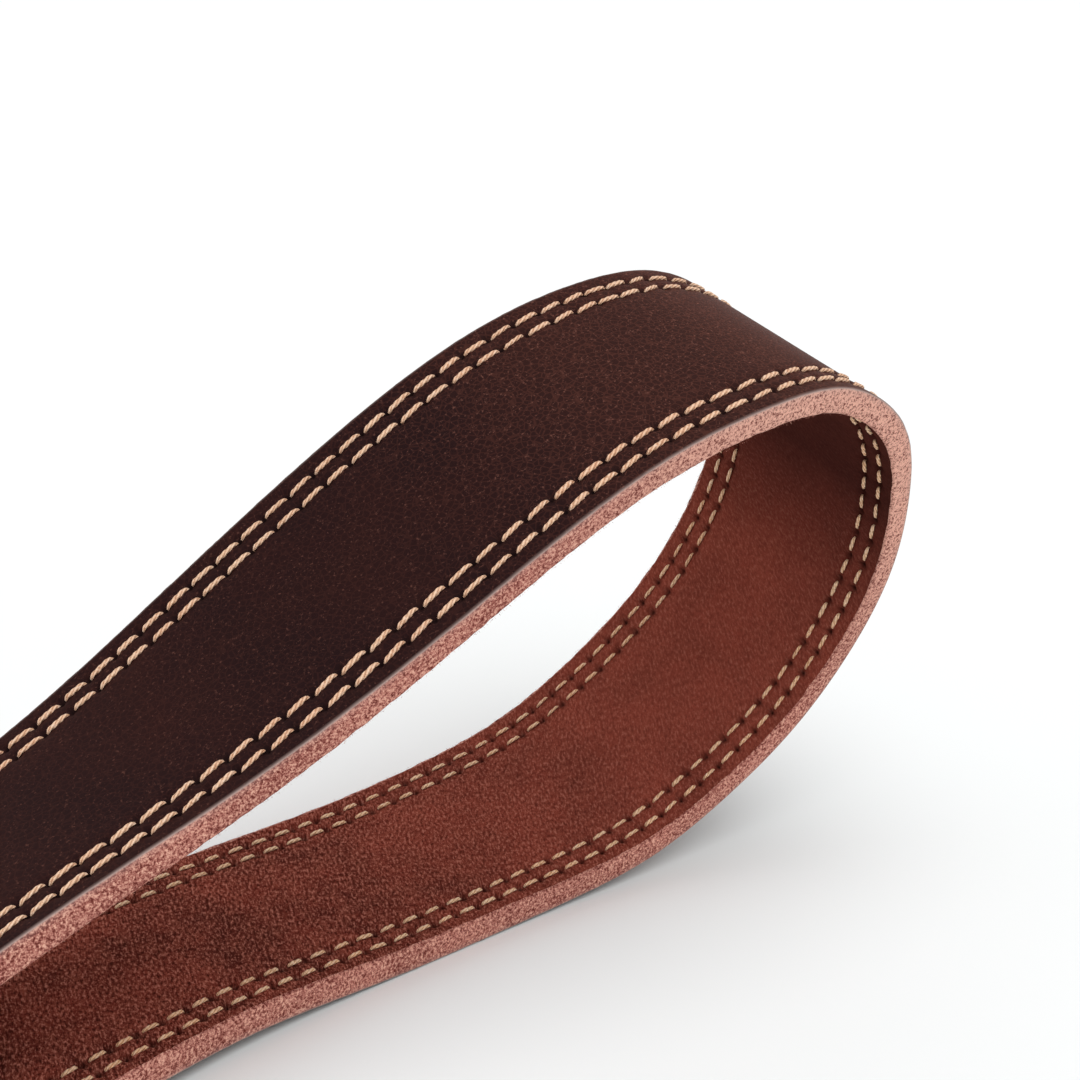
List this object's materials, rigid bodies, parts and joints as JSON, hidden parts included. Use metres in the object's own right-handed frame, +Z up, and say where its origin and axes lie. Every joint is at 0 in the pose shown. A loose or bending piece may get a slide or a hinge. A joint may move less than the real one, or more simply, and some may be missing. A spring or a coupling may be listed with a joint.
{
  "type": "training leash",
  "caption": "Leather training leash with double-stitched edges, a sewn hand loop, a rolled-up lead and a swivel bolt snap in its folded end.",
  "frame": {"origin": "on the floor under the middle of the hand loop's sewn lap, where the strap's underside rests flat", "axes": "+Z up; +X along the strap from the lap towards the hand loop's bend; +Y across the strap, away from the front edge"},
  "size_m": [0.5598, 0.1912, 0.0604],
  "materials": {
    "leather": "dark brown vegetable-tanned strap leather: smooth waxed grain outside, red-brown napped flesh inside, raw pink-tan cut edges",
    "thread": "twisted waxed tan thread",
    "snap_metal": "nickel-plated casting, lightly worn",
    "spring_steel": "drawn spring wire"
  },
  "bodies": {
    "leash": {"hand_loop": "leather", "lead_stretch": "leather", "lead_coil": "leather", "snap_stretch": "leather", "snap_fold": "leather", "grain_thread_near_outer": "thread", "grain_thread_near_inner": "thread", "grain_thread_far_inner": "thread", "grain_thread_far_outer": "thread", "flesh_thread_near_outer": "thread", "flesh_thread_near_inner": "thread", "flesh_thread_far_inner": "thread", "flesh_thread_far_outer": "thread", "hand_lap_tack": "thread", "snap_lap_tack": "thread"},
    "eye": {"snap_eye": "snap_metal"},
    "hook": {"snap_body": "snap_metal", "swivel_stud": "snap_metal", "bolt_spring": "spring_steel"},
    "bolt": {"bolt": "snap_metal", "thumb_knob": "snap_metal"}
  },
  "joints": [
    {"name": "eye_swing", "type": "hinge", "parent": "leash", "child": "eye", "pos_m": [-0.3, 0.15053, 0.0063], "axis": [0, 1, 0], "range_deg": [-60, 60]},
    {"name": "hook_swivel", "type": "hinge", "parent": "eye", "child": "hook", "pos_m": [-0.3188, 0.15053, 0.0063], "axis": [1, 0, 0], "continuous": true},
    {"name": "bolt_slide", "type": "slide", "parent": "hook", "child": "bolt", "axis": [1, 0, 0], "range_m": [0, 0.01], "stiffness_N_per_m": 400, "springref_m": -0.01, "deforming": ["bolt_spring"]}
  ]
}
